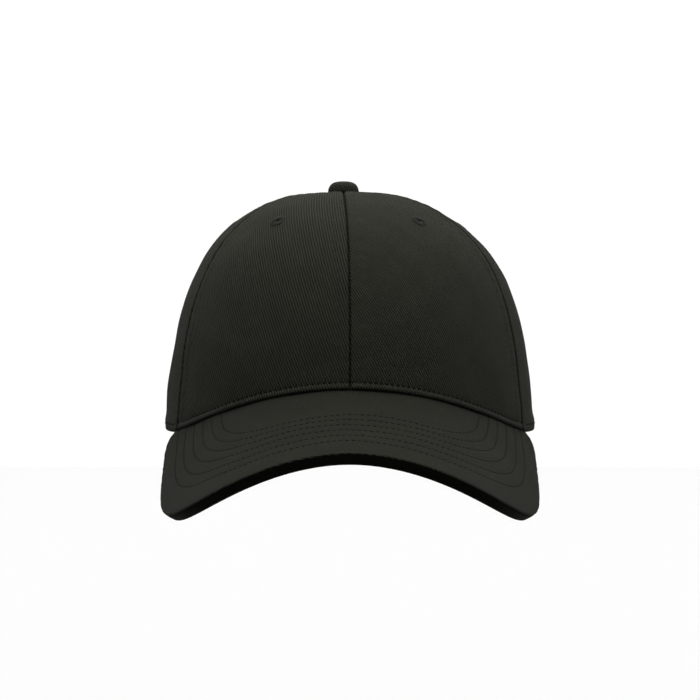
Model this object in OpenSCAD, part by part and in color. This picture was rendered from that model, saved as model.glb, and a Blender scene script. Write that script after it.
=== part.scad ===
// Six-panel baseball cap with a curved visor and an adjustable fabric strap.
// Millimetres. The visor points along -Y, +Z is up, and the origin is the centre
// of the head opening, in the plane of the hem at the sides and the back.
// Azimuths are measured from +X towards +Y: the visor is at -90 and the strap at 90.
// Cloth layers are sheets that follow one crown surface, each at its own depth inside it.

/* [Crown] */
// Half of the crown's outer width at the hem
crown_half_w = 90.4; // [84:0.2:96]
// Half of the crown's outer length at the hem
crown_half_l = 101.4; // [95:0.2:108]
// Height of the crown's top above the hem plane
crown_h = 115.5; // [105:0.5:125]
// How far the soft top leans to the wearer's right
crown_lean = 3.2; // [0:0.1:6]
// Thickness of the crown's twill
panel_t = 0.8; // [0.6:0.05:1]
// Azimuth of the seam between the front and side panels, ahead of the side
front_seam_az = 27.5; // [24:0.5:30]
// Azimuth of the seam between the side and rear panels, behind the side
rear_seam_az = 33; // [31:0.5:36]

/* [Visor] */
// Length of the visor on its centre line, along its slope
visor_len = 70; // [60:0.5:76]
// Half of the visor's width where it is widest
visor_half_w = 87.2; // [84:0.2:88]
// Radius that the visor is bent to at its root
visor_r = 101; // [97:0.5:108]
// Slope of the visor's centre line
visor_slope = 20; // [16:0.5:24]
// Height of the visor's root at the centre, above the hem plane
visor_root_z = 20.5; // [18:0.5:23]
// Thickness of the stiff board inside the visor
board_t = 4.2; // [2:0.1:4.6]
// Thickness of each cover cloth of the visor
cover_t = 0.8; // [0.5:0.1:1]

/* [Rear opening and strap] */
// Half of the width of the rear opening at the hem, as an angle of azimuth
arch_half_az = 30; // [27:0.5:31]
// Height of the rear opening
arch_h = 58; // [50:1:64]
// Width of the strap
strap_w = 20; // [16:0.5:21]
// Thickness of the strap, two cloths sewn together
strap_t = 1.2; // [1:0.1:1.3]

/* [Sweatband] */
// Width of the sweatband
band_w = 32; // [28:1:36]
// Thickness of the sweatband's padding
band_core_t = 1; // [0.8:0.1:1.2]
// Thickness of the sweatband's facing cloth
band_face_t = 0.5; // [0.4:0.1:0.7]

/* [Hidden] */

twill = [0.16, 0.16, 0.14];
twill_dark = [0.05, 0.05, 0.04];
tape = [0.08, 0.08, 0.08];
lining = [0.22, 0.22, 0.20];
metal = [0.55, 0.52, 0.45];
$fn = 64;

// Depths of the layers below the crown's outer surface. Layers that share the crown's grid lie
// a small gap apart, and the others stand clear of its facets.
gap = 0.05;
clear = 0.35;
stiff_d = panel_t + gap;
stiff_t = 0.7;
tape_t = 0.5;
tape_w = 14;
tape_d_front = stiff_d + stiff_t + clear;
tape_d_rear = panel_t + clear;
band_d_front = tape_d_front + tape_t + 0.15;
band_d_pocket = 5.7;

// Crown surface: rounding exponents and taper at the side, front and rear
rise = [3.77, 2.662, 2.9];
roundness = [2.40, 2.795, 2.3];
taper = [0.112, 0.03, 0.10];
base_z = -8;
crown_rows = 20;
row_power = 1.5;
lean_power = 5;
hole_r = 2.5;

function blend3(v, az) = let (s = sin(az)) v[0] * (1 - s * s) + (s < 0 ? v[1] : v[2]) * s * s;
function smooth(t) = let (u = max(0, min(1, t))) u * u * (3 - 2 * u);
function plan_r(az) = 1 / sqrt(pow(cos(az) / crown_half_w, 2) + pow(sin(az) / crown_half_l, 2));

// A point of the outer surface, from its azimuth and its rise angle (0 base, 90 top)
function crown_pt(az, ph) =
    let (
        s = pow(sin(ph), 2 / blend3(rise, az)),
        z = base_z + (crown_h - base_z) * s,
        r = plan_r(az) * (1 - blend3(taper, az) * s) * pow(cos(ph), 2 / blend3(roundness, az))
    )
    [r * cos(az) - crown_lean * pow(max(z, 0) / crown_h, lean_power), r * sin(az), z];

// The rise angle at a height, and at a distance from the top's axis
function ph_at(az, z) =
    asin(pow(max(z - base_z, 0.01) / (crown_h - base_z), blend3(rise, az) / 2));
function ph_near_top(az, r) =
    acos(pow(r / (plan_r(az) * (1 - blend3(taper, az))), blend3(roundness, az) / 2));

function crown_normal(az, ph) =
    let (
        across = crown_pt(az + 0.5, ph) - crown_pt(az - 0.5, ph),
        up = crown_pt(az, ph + min(0.03 * ph, 0.3 * (90 - ph))) - crown_pt(az, 0.97 * ph),
        n = cross(across, up)
    )
    n / norm(n);
function layer_pt(az, ph, d) = crown_pt(az, ph) - d * crown_normal(az, ph);

// Visor: a cone-like bent sheet that slopes down to the front
root_y = -100.05;
cone = 0.08;
function visor_z(x, y) =
    let (
        ahead = root_y - y,
        r = visor_r * (1 - cone * ahead / 100)
    )
    visor_root_z - ahead * tan(visor_slope) - (r - sqrt(r * r - x * x)) / cos(visor_slope);
function visor_n(p) =
    let (
        step = 0.2,
        dx = (visor_z(p.x + step, p.y) - visor_z(p.x - step, p.y)) / (2 * step),
        dy = (visor_z(p.x, p.y + step) - visor_z(p.x, p.y - step)) / (2 * step)
    )
    [-dx, -dy, 1] / norm([-dx, -dy, 1]);
function visor_pt(p, d) = [p.x, p.y, visor_z(p.x, p.y)] - d * visor_n(p);

// The hem: on the visor in front, flat at the sides, arched over the rear opening
function turn_from(az, centre) = abs(((az - centre + 540) % 360) - 180);
function on_visor(az) = 1 - smooth((turn_from(az, -90) - 60) / 8);
function arch_z(az) =
    let (t = turn_from(az, 90) / arch_half_az) t < 1 ? arch_h * sqrt(1 - t * t) : 0;
function hem_at(az, p, lift) =
    on_visor(az) > 0 ? on_visor(az) * (visor_z(p.x, p.y) + lift) : arch_z(az);
hem_lift = 0.2;
function hem_ph(az, d, lift = hem_lift, n = 4, z = 5) =
    let (p = layer_pt(az, ph_at(az, z), d))
    n == 0 ? ph_at(az, z) : hem_ph(az, d, lift, n - 1, z + hem_at(az, p, lift) - p.z);

// A closed sheet between two grids of points, the outer side first
module sheet(outer, inner) {
    ni = len(outer);
    nj = len(outer[0]);
    pts = [for (side = [outer, inner]) for (row = side) for (p = row) p];
    function o(i, j) = i * nj + j;
    function n(i, j) = ni * nj + i * nj + j;
    faces = [
        for (i = [0 : ni - 2], j = [0 : nj - 2])
            each [
                [o(i, j), o(i, j + 1), o(i + 1, j + 1)],
                [o(i, j), o(i + 1, j + 1), o(i + 1, j)],
                [n(i, j), n(i + 1, j + 1), n(i, j + 1)],
                [n(i, j), n(i + 1, j), n(i + 1, j + 1)]
            ],
        for (i = [0 : ni - 2], k = [0, 1])
            let (
                j = k * (nj - 1),
                a = i + k,
                b = i + 1 - k
            )
            each [[o(a, j), o(b, j), n(b, j)], [o(a, j), n(b, j), n(a, j)]],
        for (j = [0 : nj - 2], k = [0, 1])
            let (
                i = k * (ni - 1),
                a = j + 1 - k,
                b = j + k
            )
            each [[o(i, a), o(i, b), n(i, b)], [o(i, a), n(i, b), n(i, a)]]
    ];
    polyhedron(pts, faces);
}

// Equal steps from a to b
function steps(a, b, n) = [for (i = [0 : n]) a + (b - a) * i / n];

// A piece of the crown at one depth, between two of the grid's rows: row 0 is the hem and the
// last row is the edge of the hole at the top
module crown_sheet(stops, d, t, first = 0, last = crown_rows) {
    function column(az, depth) =
        let (
            low = hem_ph(az, depth),
            high = ph_near_top(az, hole_r)
        )
        [
            for (j = [first : last])
                layer_pt(az, low + (high - low) * pow(j / crown_rows, row_power), depth)
        ];
    sheet([for (az = stops) column(az, d)], [for (az = stops) column(az, d + t)]);
}

// Azimuth stops of the panels. Those of a rear panel are close together beside the arch.
front_left_stops = steps(-90, -front_seam_az, 10);
front_right_stops = steps(front_seam_az - 180, -90, 10);
arch_steps = 12;
rear_left_stops = concat(
    steps(rear_seam_az, 88 - arch_half_az, 4),
    [for (k = [0 : arch_steps]) 90 - arch_half_az * cos(90 * k / arch_steps)]
);
rear_right_stops = [for (k = [len(rear_left_stops) - 1 : -1 : 0]) 180 - rear_left_stops[k]];

// Eyelets: three on each side, one to a panel
eyelet_z = 99.5;
eyelet_az_left = [-57, 2.5, 58];
eyelet_az_right = [-121, 177.5, 122];
eyelet_bore = 1.0;
eyelet_barrel = 1.5;
eyelet_rim = 4;
module at_crown(az, z) {
    ph = ph_at(az, z);
    n = crown_normal(az, ph);
    translate(crown_pt(az, ph))
        rotate([0, acos(n.z), atan2(n.y, n.x)])
            children();
}
module eyelet(az, inner_d) {
    at_crown(az, eyelet_z)
        rotate_extrude()
            union() {
                translate([eyelet_bore, -inner_d - 0.2])
                    square([eyelet_barrel - eyelet_bore, inner_d + 0.5]);
                translate([eyelet_bore, 0.1]) square([eyelet_rim - eyelet_bore - 0.35, 0.7]);
                translate([eyelet_rim - 0.35, 0.45]) circle(0.35);
                translate([eyelet_bore, -inner_d - 0.4]) square([2, 0.4]);
            }
}
module eyelet_hole(az) {
    at_crown(az, eyelet_z) cylinder(h = 12, r = eyelet_barrel + 0.05, center = true);
}

module front_panel_left() {
    color(twill) difference() {
        crown_sheet(front_left_stops, 0, panel_t);
        eyelet_hole(eyelet_az_left[0]);
    }
}
module front_panel_right() {
    color(twill) difference() {
        crown_sheet(front_right_stops, 0, panel_t);
        eyelet_hole(eyelet_az_right[0]);
    }
}
module side_panel_left() {
    color(twill) difference() {
        crown_sheet(steps(-front_seam_az, rear_seam_az, 10), 0, panel_t);
        eyelet_hole(eyelet_az_left[1]);
    }
}
module side_panel_right() {
    color(twill) difference() {
        crown_sheet(steps(180 - rear_seam_az, 180 + front_seam_az, 10), 0, panel_t);
        eyelet_hole(eyelet_az_right[1]);
    }
}
module rear_panel_left() {
    color(twill) difference() {
        crown_sheet(rear_left_stops, 0, panel_t);
        eyelet_hole(eyelet_az_left[2]);
    }
}
module rear_panel_right() {
    color(twill) difference() {
        crown_sheet(rear_right_stops, 0, panel_t);
        eyelet_hole(eyelet_az_right[2]);
    }
}

// Stiffeners: on the front panels' own grid, from just above the hem to near the button
stiff_first = 1;
stiff_last = crown_rows - 1;
module front_stiffener_left() {
    color(lining) difference() {
        crown_sheet(front_left_stops, stiff_d, stiff_t, stiff_first, stiff_last);
        eyelet_hole(eyelet_az_left[0]);
    }
}
module front_stiffener_right() {
    color(lining) difference() {
        crown_sheet(front_right_stops, stiff_d, stiff_t, stiff_first, stiff_last);
        eyelet_hole(eyelet_az_right[0]);
    }
}

// A tape of constant width along one seam, from above the hem up to near the top
module seam_tape(az, d, top_r, foot_lift = 1, rows = 16) {
    low = hem_ph(az, d, foot_lift);
    high = ph_near_top(az, top_r);
    function spread(ph) =
        let (p = crown_pt(az, ph))
        tape_w / 2 * (180 / PI) / max(norm([p.x, p.y]), top_r);
    function row(u, depth) = [
        for (w = steps(0, 1, rows))
            let (ph = low + (high - low) * pow(w, row_power))
            layer_pt(az + u * spread(ph), ph, depth)
    ];
    sheet([for (u = [-1 : 0.5 : 1]) row(u, d)], [for (u = [-1 : 0.5 : 1]) row(u, d + tape_t)]);
}
tape_top_mid = 9;
tape_top_side = 15;
visor_tip_lift = 5;
module seam_tape_front() { color(tape) seam_tape(-90, tape_d_front, tape_top_mid); }
module seam_tape_front_left() {
    color(tape) seam_tape(-front_seam_az, tape_d_front, tape_top_side, visor_tip_lift);
}
module seam_tape_front_right() {
    color(tape) seam_tape(180 + front_seam_az, tape_d_front, tape_top_side, visor_tip_lift);
}
module seam_tape_rear_left() { color(tape) seam_tape(rear_seam_az, tape_d_rear, tape_top_side); }
module seam_tape_rear_right() {
    color(tape) seam_tape(180 - rear_seam_az, tape_d_rear, tape_top_side);
}
module seam_tape_rear() {
    color(tape) difference() {
        seam_tape(90, tape_d_rear, tape_top_mid);
        translate([0, crown_half_l, 0]) cube([60, 80, 2 * (arch_h + 9)], center = true);
    }
}

// Sweatband: hangs inside the hem, and stands off the wall beside the strap
band_stops = steps(90 + arch_half_az + 1.5, 450 - arch_half_az - 1.5, 56);
function band_d(az) =
    band_d_front + (band_d_pocket - band_d_front) * (1 - smooth((turn_from(az, 90) - 62) / 18));
function band_foot(az) = on_visor(az) * -(board_t + 2 * cover_t) + 0.6;
module band_sheet(extra, t, low, high) {
    function column(az, depth) =
        let (
            foot = hem_ph(az, depth),
            z0 = layer_pt(az, foot, depth).z + band_foot(az)
        )
        [for (w = steps(low, high, 4)) layer_pt(az, ph_at(az, z0 + w), depth)];
    sheet([for (az = band_stops) column(az, band_d(az) + extra)],
        [for (az = band_stops) column(az, band_d(az) + extra + t)]);
}
module sweatband_core() { color(lining) band_sheet(0, band_core_t, 1, band_w - 1); }
module sweatband_facing() {
    color(tape) band_sheet(band_core_t + gap, band_face_t, 0, band_w);
}

// Binding folded over the edge of the rear opening
module opening_binding() {
    turns = 40;
    leg = 6;
    wall = 0.3;
    fold = 0.25;
    outer = -fold - wall;
    inner = panel_t + fold;
    function edge(k) =
        let (
            a = 180 * k / turns,
            az = 90 + arch_half_az * cos(a),
            z = max(arch_h * sin(a), 0)
        )
        [az, ph_at(az, z)];
    function frame_at(k) =
        let (
            e = edge(k),
            before = edge(max(k - 1, 0)),
            after = edge(min(k + 1, turns)),
            along = crown_pt(after[0], after[1]) - crown_pt(before[0], before[1]),
            n = crown_normal(e[0], e[1]),
            away = cross(along, n)
        )
        [crown_pt(e[0], e[1]), away / norm(away), n];
    section = [
        [outer, outer], [leg, outer], [leg, -fold], [-fold, -fold],
        [-fold, inner], [leg, inner], [leg, inner + wall], [outer, inner + wall]
    ];
    count = len(section);
    pts = [
        for (k = [0 : turns])
            let (f = frame_at(k))
            for (q = section) f[0] + q[0] * f[1] - q[1] * f[2]
    ];
    sides = [
        for (k = [0 : turns - 1], m = [0 : count - 1])
            let (
                a = k * count + m,
                b = k * count + (m + 1) % count
            )
            each [[a, b, b + count], [a, b + count, a + count]]
    ];
    ends = [
        [for (m = [count - 1 : -1 : 0]) m],
        [for (m = [0 : count - 1]) turns * count + m]
    ];
    color(twill) polyhedron(pts, concat(sides, ends));
}

module eyelet_front_left() { color(twill) eyelet(eyelet_az_left[0], tape_d_front); }
module eyelet_front_right() { color(twill) eyelet(eyelet_az_right[0], tape_d_front); }
module eyelet_side_left() { color(twill) eyelet(eyelet_az_left[1], tape_d_rear); }
module eyelet_side_right() { color(twill) eyelet(eyelet_az_right[1], tape_d_rear); }
module eyelet_rear_left() { color(twill) eyelet(eyelet_az_left[2], tape_d_rear); }
module eyelet_rear_right() { color(twill) eyelet(eyelet_az_right[2], tape_d_rear); }

// Button: a cloth-covered metal dome riveted through the hole where the panels meet
button_r = 7.6;
button_h = 5.6;
rivet_r = 1.2;
module dome(r, h, t) {
    ball_r = (r * r + h * h) / (2 * h);
    difference() {
        intersection() {
            translate([0, 0, h - ball_r]) sphere(ball_r);
            cylinder(h = h, r = r);
        }
        intersection() {
            translate([0, 0, h - ball_r]) sphere(ball_r - t);
            translate([0, 0, -1]) cylinder(h = 2 * h, r = r - t);
        }
    }
}
module at_top(z) { translate([-crown_lean, 0, crown_h + z]) children(); }
module button_cover() { color(twill) at_top(0.1) dome(button_r, button_h, 0.6); }
module button_shell() { color(metal) at_top(0.1) dome(button_r - 0.65, button_h - 0.65, 0.5); }
module button_rivet() {
    color(metal) at_top(-4.4) {
        cylinder(h = 8.4, r = rivet_r);
        cylinder(h = 0.6, r = 2.6);
        translate([0, 0, 7.4]) cylinder(h = 1, r = 2.6);
    }
}
module button_backing() {
    color(metal) at_top(-3.7) difference() {
        cylinder(h = 0.8, r = 8);
        translate([0, 0, -1]) cylinder(h = 3, r = rivet_r + 0.05);
    }
}

// Visor: half turns of its outline, which is a rounded rectangle closed behind its widest line
outline_y = -45;
tip_turn = 108;
wing_back = 14;
outline_p = 3.1;
wing_p = 6;
outline_q = 3.67;
seam_inset = 2.05;
rim_t = 1;
function outline_pt(turn) =
    let (
        c = cos(turn),
        front = visor_len + outline_y - root_y,
        reach = c > 0 ? -front * pow(c, 2 / outline_q) : wing_back * pow(-c, 2 / outline_q),
        p = c > 0 ? outline_p : wing_p
    )
    [sign(turn) * visor_half_w * pow(abs(sin(turn)), 2 / p), outline_y + reach];
function root_pt(turn) =
    let (
        az = -90 + 64 * turn / tip_turn,
        p = layer_pt(az, hem_ph(az, seam_inset), seam_inset)
    )
    [p.x, p.y];
visor_turns = concat(steps(-tip_turn, -90, 2), steps(-84, 84, 28), steps(90, tip_turn, 2));
visor_rows = 7;

// Plan points of one turn, from above the root to the outline less an inset. Layers at a depth
// start further out, so that they end on the same upright wall.
function spoke(turn, inset, d) =
    let (
        root = root_pt(turn),
        b = outline_pt(turn),
        n = visor_n(root),
        tilt = norm([n.x, n.y]),
        a = root + min(d * tilt, 0.45 * norm(b - root)) * [n.x, n.y] / tilt,
        span = norm(b - a),
        stop = max(span - inset, 0.4 * span) / span
    )
    [for (w = steps(0, stop, visor_rows)) a + w * (b - a)];
function visor_layer(turns, inset, d) = [
    for (turn = turns) [for (p = spoke(turn, inset, d)) visor_pt(p, d)]
];
module visor_cover_top() {
    color(twill) sheet(visor_layer(visor_turns, 0, cover_t), visor_layer(visor_turns, 0, 0));
}

// The board stops short of the visor's tips
module visor_board() {
    top = cover_t + gap;
    inset = rim_t + 0.15;
    turns = [for (turn = visor_turns) if (abs(turn) < tip_turn - 1) turn];
    color(lining) sheet(visor_layer(turns, inset, top + board_t), visor_layer(turns, inset, top));
}
module visor_cover_under() {
    top = cover_t + gap;
    low = top + board_t + gap;
    function with_rim(inset, d) = [
        for (turn = visor_turns)
            let (line = spoke(turn, inset, d))
            concat([for (p = line) visor_pt(p, d)], [visor_pt(line[len(line) - 1], top)])
    ];
    color(twill_dark) sheet(with_rim(0, low + cover_t), with_rim(rim_t, low));
}

// Strap and buckle: bands about one upright axis, leaning in with the wall.
// Their places are angles from +Y towards +X, and depths below the wall's circle.
strap_cy = 15.3;
strap_circle = 83.66;
strap_lean = 6.1;
strap_mid = 13;
tab_d = 1.9;
tab_t = 1.2;
strap_d = tab_d + tab_t + 0.3;
base_d = strap_d + strap_t + 0.3;
base_t = 0.9;
rail_t = 1.8;
rail_in = strap_w / 2 + 0.95;
pin_r = 0.9;
pin_bore = 0.95;
knuckle_r = 1.6;
hinge_d = strap_d - 0.35 - knuckle_r;
hinge_at = 11;
bar_at = 28.5;
buckle_at = 20;
lever_end = 24.8;
lever_t = 1.0;
lever_half = rail_in - 1.25;

// A leaning band between two angles, two depths and two heights from the strap's middle
module band(from, to, d1, d2, half) {
    function r(d, h) = strap_circle - d - h * tan(strap_lean);
    translate([0, strap_cy, strap_mid])
        rotate([0, 0, 90 - to])
            rotate_extrude(angle = to - from)
                polygon([
                    [r(d2, -half), -half], [r(d1, -half), -half],
                    [r(d1, half), half], [r(d2, half), half]
                ]);
}
// The buckle's own frame: the strap's circle, leaning with the wall at the buckle's middle
module at_buckle() {
    translate([0, strap_cy, strap_mid])
        rotate([0, 0, -buckle_at])
            translate([0, strap_circle, 0])
                rotate([strap_lean, 0, 0])
                    translate([0, -strap_circle, 0])
                        children();
}
module arc_plate(from, to, d1, d2, low, high) {
    rotate([0, 0, 90 + buckle_at - to])
        rotate_extrude(angle = to - from)
            translate([strap_circle - d2, low]) square([d2 - d1, high - low]);
}
module on_circle(at, d) {
    rotate([0, 0, buckle_at - at]) translate([0, strap_circle - d, 0]) children();
}
module rod(at, d, r, half) { on_circle(at, d) cylinder(h = 2 * half, r = r, center = true); }

module strap() { color(twill) band(-54, 50, strap_d, strap_d + strap_t, strap_w / 2); }
module buckle_tab() {
    half = rail_in - 1.15;
    loop_r = 1.0;
    ply = tab_t / 2;
    leg_run = 7.4;
    leg_turns = [-18.5, -3];
    reach = [4.9, 21.5];
    bite = 0.04;
    color(twill) at_buckle() difference() {
        union() {
            arc_plate(bar_at + reach[0], bar_at + reach[1], tab_d, tab_d + tab_t, -half, half);
            rod(bar_at, hinge_d, loop_r + ply, half);
            for (k = [0, 1])
                on_circle(bar_at, hinge_d)
                    rotate([0, 0, leg_turns[k]])
                        translate([0, bite + (k == 0 ? loop_r : -loop_r - ply), -half])
                            cube([leg_run, ply - 2 * bite, 2 * half]);
        }
        rod(bar_at, hinge_d, loop_r, half + 1);
    }
}
module buckle_frame() {
    outer = rail_in + rail_t;
    back = base_d + base_t;
    color(metal) at_buckle() difference() {
        union() {
            arc_plate(hinge_at - 1.2, bar_at - 4, base_d, back - 0.1, -rail_in - 1, rail_in + 1);
            for (low = [-outer, rail_in]) {
                arc_plate(hinge_at - 1.6, bar_at + 1.6, hinge_d + 0.2, back, low, low + rail_t);
                for (at = [hinge_at, bar_at])
                    on_circle(at, hinge_d)
                        translate([0, 0, low + 0.1]) cylinder(h = rail_t - 0.2, r = 1.9);
            }
            rod(bar_at, hinge_d, pin_r, rail_in + 1);
        }
        rod(hinge_at, hinge_d, pin_r, outer + 2);
    }
}
module buckle_pin() {
    color(metal) at_buckle() rod(hinge_at, hinge_d, pin_r, rail_in + rail_t + 0.2);
}
module buckle_lever() {
    face = hinge_d + knuckle_r + 0.05;
    color(metal) at_buckle() difference() {
        union() {
            rod(hinge_at, hinge_d, knuckle_r, rail_in - 0.3);
            arc_plate(hinge_at, lever_end, face - lever_t, face, -lever_half, lever_half);
            arc_plate(lever_end - 1, lever_end + 0.2, face - lever_t - 0.9, face - 0.2,
                -lever_half + 0.2, lever_half - 0.2);
        }
        rod(hinge_at, hinge_d, pin_bore, rail_in + 2);
    }
}

front_panel_left();
front_panel_right();
side_panel_left();
side_panel_right();
rear_panel_left();
rear_panel_right();
front_stiffener_left();
front_stiffener_right();
seam_tape_front();
seam_tape_front_left();
seam_tape_front_right();
seam_tape_rear();
seam_tape_rear_left();
seam_tape_rear_right();
sweatband_core();
sweatband_facing();
opening_binding();
eyelet_front_left();
eyelet_front_right();
eyelet_side_left();
eyelet_side_right();
eyelet_rear_left();
eyelet_rear_right();
button_cover();
button_shell();
button_rivet();
button_backing();
visor_board();
visor_cover_top();
visor_cover_under();
strap();
buckle_tab();
buckle_frame();
buckle_pin();
buckle_lever();
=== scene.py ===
"""A baseball cap's looks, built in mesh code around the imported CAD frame.

Shapes are worked out in millimetres on the same crown, visor and strap surfaces as the CAD, and
turned into metres when a mesh is made. Azimuths are radians from +X towards +Y: the visor is at
-90 degrees, the strap at +90. Left and right are the wearer's.
"""

from math import cos, pi, radians, sin, sqrt, tan

import bpy
import numpy as np
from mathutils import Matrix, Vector


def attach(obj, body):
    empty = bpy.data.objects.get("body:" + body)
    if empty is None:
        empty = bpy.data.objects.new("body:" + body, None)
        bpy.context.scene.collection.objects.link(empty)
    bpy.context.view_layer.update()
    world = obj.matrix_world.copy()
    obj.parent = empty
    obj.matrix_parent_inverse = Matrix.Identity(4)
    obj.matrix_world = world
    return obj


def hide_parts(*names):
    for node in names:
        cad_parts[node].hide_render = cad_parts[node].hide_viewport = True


MM = 0.001
FULL_TURN = 2 * pi
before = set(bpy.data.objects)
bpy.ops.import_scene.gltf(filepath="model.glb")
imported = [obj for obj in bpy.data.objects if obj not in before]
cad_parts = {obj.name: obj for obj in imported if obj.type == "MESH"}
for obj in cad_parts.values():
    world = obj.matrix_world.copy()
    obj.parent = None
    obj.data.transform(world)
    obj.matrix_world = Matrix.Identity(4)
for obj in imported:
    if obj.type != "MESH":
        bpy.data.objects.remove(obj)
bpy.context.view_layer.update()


# ---- sizes, in millimetres
# The crown, as in the CAD
CROWN_HALF_W, CROWN_HALF_L, CROWN_H, CROWN_LEAN, LEAN_POWER = 90.4, 101.4, 115.5, 3.2, 5
PANEL_T = 0.8
SEAM_FRONT, SEAM_REAR = radians(27.5), radians(33)
# How full the profile is at the sides, in front and behind
RISE, ROUNDNESS, TAPER, BASE_Z = (3.77, 2.662, 2.9), (2.40, 2.795, 2.3), (0.112, 0.03, 0.10), -8
HEM_LIFT = 0.2
TOP_HOLE_R = 2.5
FRONT, BACK = -pi / 2, pi / 2
# The visor
VISOR_LEN, VISOR_HALF_W, VISOR_R, VISOR_SLOPE, VISOR_ROOT_Z = 70, 87.2, 101, radians(20), 20.5
ROOT_Y, VISOR_CONE = -100.05, 0.08
OUTLINE_Y, TIP_TURN, WING_BACK, OUTLINE_Q = -45, radians(108), 14, 3.67
OUTLINE_P, WING_P = 3.1, 6
SEAM_INSET, COVER_T, BOARD_T = 2.05, 0.8, 4.2
VISOR_T = BOARD_T + 2 * COVER_T + 0.1
STITCH_ROWS = (13.8, 20.5, 27.3, 33.6, 39.4, 45.0)
SEAM_ROW, HEM_ROW = 5.8, 3.7
# The rear opening, strap and sweatband
ARCH_HALF, ARCH_H = radians(30), 58
STRAP_CY, STRAP_CIRCLE, STRAP_LEAN, STRAP_MID = 15.3, 83.66, radians(6.1), 13
STRAP_W, STRAP_T = 20, 1.2
STRAP_START, STRAP_END = radians(-54), radians(50)
TAB_D, TAB_T = 1.9, 1.2
STRAP_D = TAB_D + TAB_T + 0.3
BUCKLE_AT, BAR_AT = radians(20), radians(28.5)
BAR_D = STRAP_D - 0.35 - 1.6
EDGE_BREAK = 0.22
BAND_W, BAND_CORE_T, BAND_FACE_T = 32, 1.0, 0.5
BAND_D_FRONT, BAND_D_POCKET = 2.55, 5.7
STIFF_D, STIFF_T = 0.85, 0.7
TAPE_W, TAPE_T, TAPE_D_FRONT, TAPE_D_REAR = 14, 0.5, 1.9, 1.15
TAPE_ROW = 5.0
BINDING_FOLD, BINDING_WALL = 0.25, 0.3
EYELET_BORE = 0.7
BUTTON_R, BUTTON_H = 7.6, 5.6
HOLE_R = 1.9
# Cutting sizes across and along, as flat rectangles
VISOR_FLAT, UNDER_FLAT, BUCKRAM_FLAT = (215, 148), (222, 154), (105, 165)
EYELET_Z = 99.5
EYELETS = {"front_left": -57, "side_left": 2.5, "rear_left": 58,
           "front_right": -121, "side_right": 177.5, "rear_right": 122}


# ---- the cap's surfaces
def smooth(t):
    t = np.clip(t, 0, 1)
    return t * t * (3 - 2 * t)


def bell(x, centre, width):
    return np.exp(-(((x - centre) / width) ** 2))


def joined(*parts):
    """Coordinates brought to one shape and put side by side."""
    return np.stack(np.broadcast_arrays(*parts), -1)


def lengths_along(path):
    """Distance run along a path of points, 0 at its start."""
    steps = np.linalg.norm(np.diff(path, axis=-2), axis=-1)
    return np.insert(np.cumsum(steps, -1), 0, 0, axis=-1)


def both_ways(steps):
    """Steps from a middle line outwards, on both sides of it."""
    steps = np.array(steps)
    return np.concatenate([-steps[:0:-1], steps])


def blend3(values, az):
    s = np.sin(az)
    return values[0] * (1 - s * s) + np.where(s < 0, values[1], values[2]) * s * s


def plan_r(az):
    return 1 / np.sqrt((np.cos(az) / CROWN_HALF_W) ** 2 + (np.sin(az) / CROWN_HALF_L) ** 2)


def crown_point(az, rise):
    """The crown's outer surface at an azimuth and a rise angle, 0 at its base and pi/2 at the top."""
    s = np.sin(rise) ** (2 / blend3(RISE, az))
    z = BASE_Z + (CROWN_H - BASE_Z) * s
    r = plan_r(az) * (1 - blend3(TAPER, az) * s) * np.cos(rise) ** (2 / blend3(ROUNDNESS, az))
    lean = CROWN_LEAN * (np.maximum(z, 0) / CROWN_H) ** LEAN_POWER
    return joined(r * np.cos(az) - lean, r * np.sin(az), z)


def from_axis(points):
    """Distance of points on the crown from its leaning axis."""
    lean = CROWN_LEAN * (np.maximum(points[..., 2], 0) / CROWN_H) ** LEAN_POWER
    return np.hypot(points[..., 0] + lean, points[..., 1])


def rise_at(az, z):
    share = np.maximum(z - BASE_Z, 0.01) / (CROWN_H - BASE_Z)
    return np.arcsin(share ** (blend3(RISE, az) / 2))


def rise_near_top(az, r):
    share = r / (plan_r(az) * (1 - blend3(TAPER, az)))
    return np.arccos(share ** (blend3(ROUNDNESS, az) / 2))


def unit(v):
    return v / np.linalg.norm(v, axis=-1, keepdims=True)


def crown_normal(az, rise):
    step = 0.009
    across = crown_point(az + step, rise) - crown_point(az - step, rise)
    up_step = np.minimum(0.03 * rise, 0.3 * (pi / 2 - rise))
    up = crown_point(az, rise + up_step) - crown_point(az, 0.97 * rise)
    return unit(np.cross(across, up))


def crown_at(az, rise):
    return crown_point(az, rise), crown_normal(az, rise)


def lifted(base, normal, *heights):
    """Points at heights above others, along their normals: one set for each height."""
    return [base + h[..., None] * normal for h in heights]


def layer_point(az, rise, depth):
    return crown_point(az, rise) - np.asarray(depth)[..., None] * crown_normal(az, rise)


def visor_z(x, y):
    ahead = ROOT_Y - y
    r = VISOR_R * (1 - VISOR_CONE * ahead / 100)
    sag = r - np.sqrt(r * r - x * x)
    return VISOR_ROOT_Z - ahead * tan(VISOR_SLOPE) - sag / cos(VISOR_SLOPE)


def visor_point(plan, depth):
    step, x, y = 0.2, plan[..., 0], plan[..., 1]
    dx = (visor_z(x + step, y) - visor_z(x - step, y)) / (2 * step)
    dy = (visor_z(x, y + step) - visor_z(x, y - step)) / (2 * step)
    normal = unit(joined(-dx, -dy, np.ones_like(dx)))
    return joined(x, y, visor_z(x, y)) - np.asarray(depth)[..., None] * normal


def turn_from(az, centre):
    return np.abs((az - centre + pi) % (FULL_TURN) - pi)


def on_visor(az):
    return 1 - smooth((turn_from(az, FRONT) - radians(60)) / radians(8))


def arch_z(az):
    t = np.clip(turn_from(az, BACK) / ARCH_HALF, 0, 1)
    return ARCH_H * np.sqrt(1 - t * t)


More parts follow.
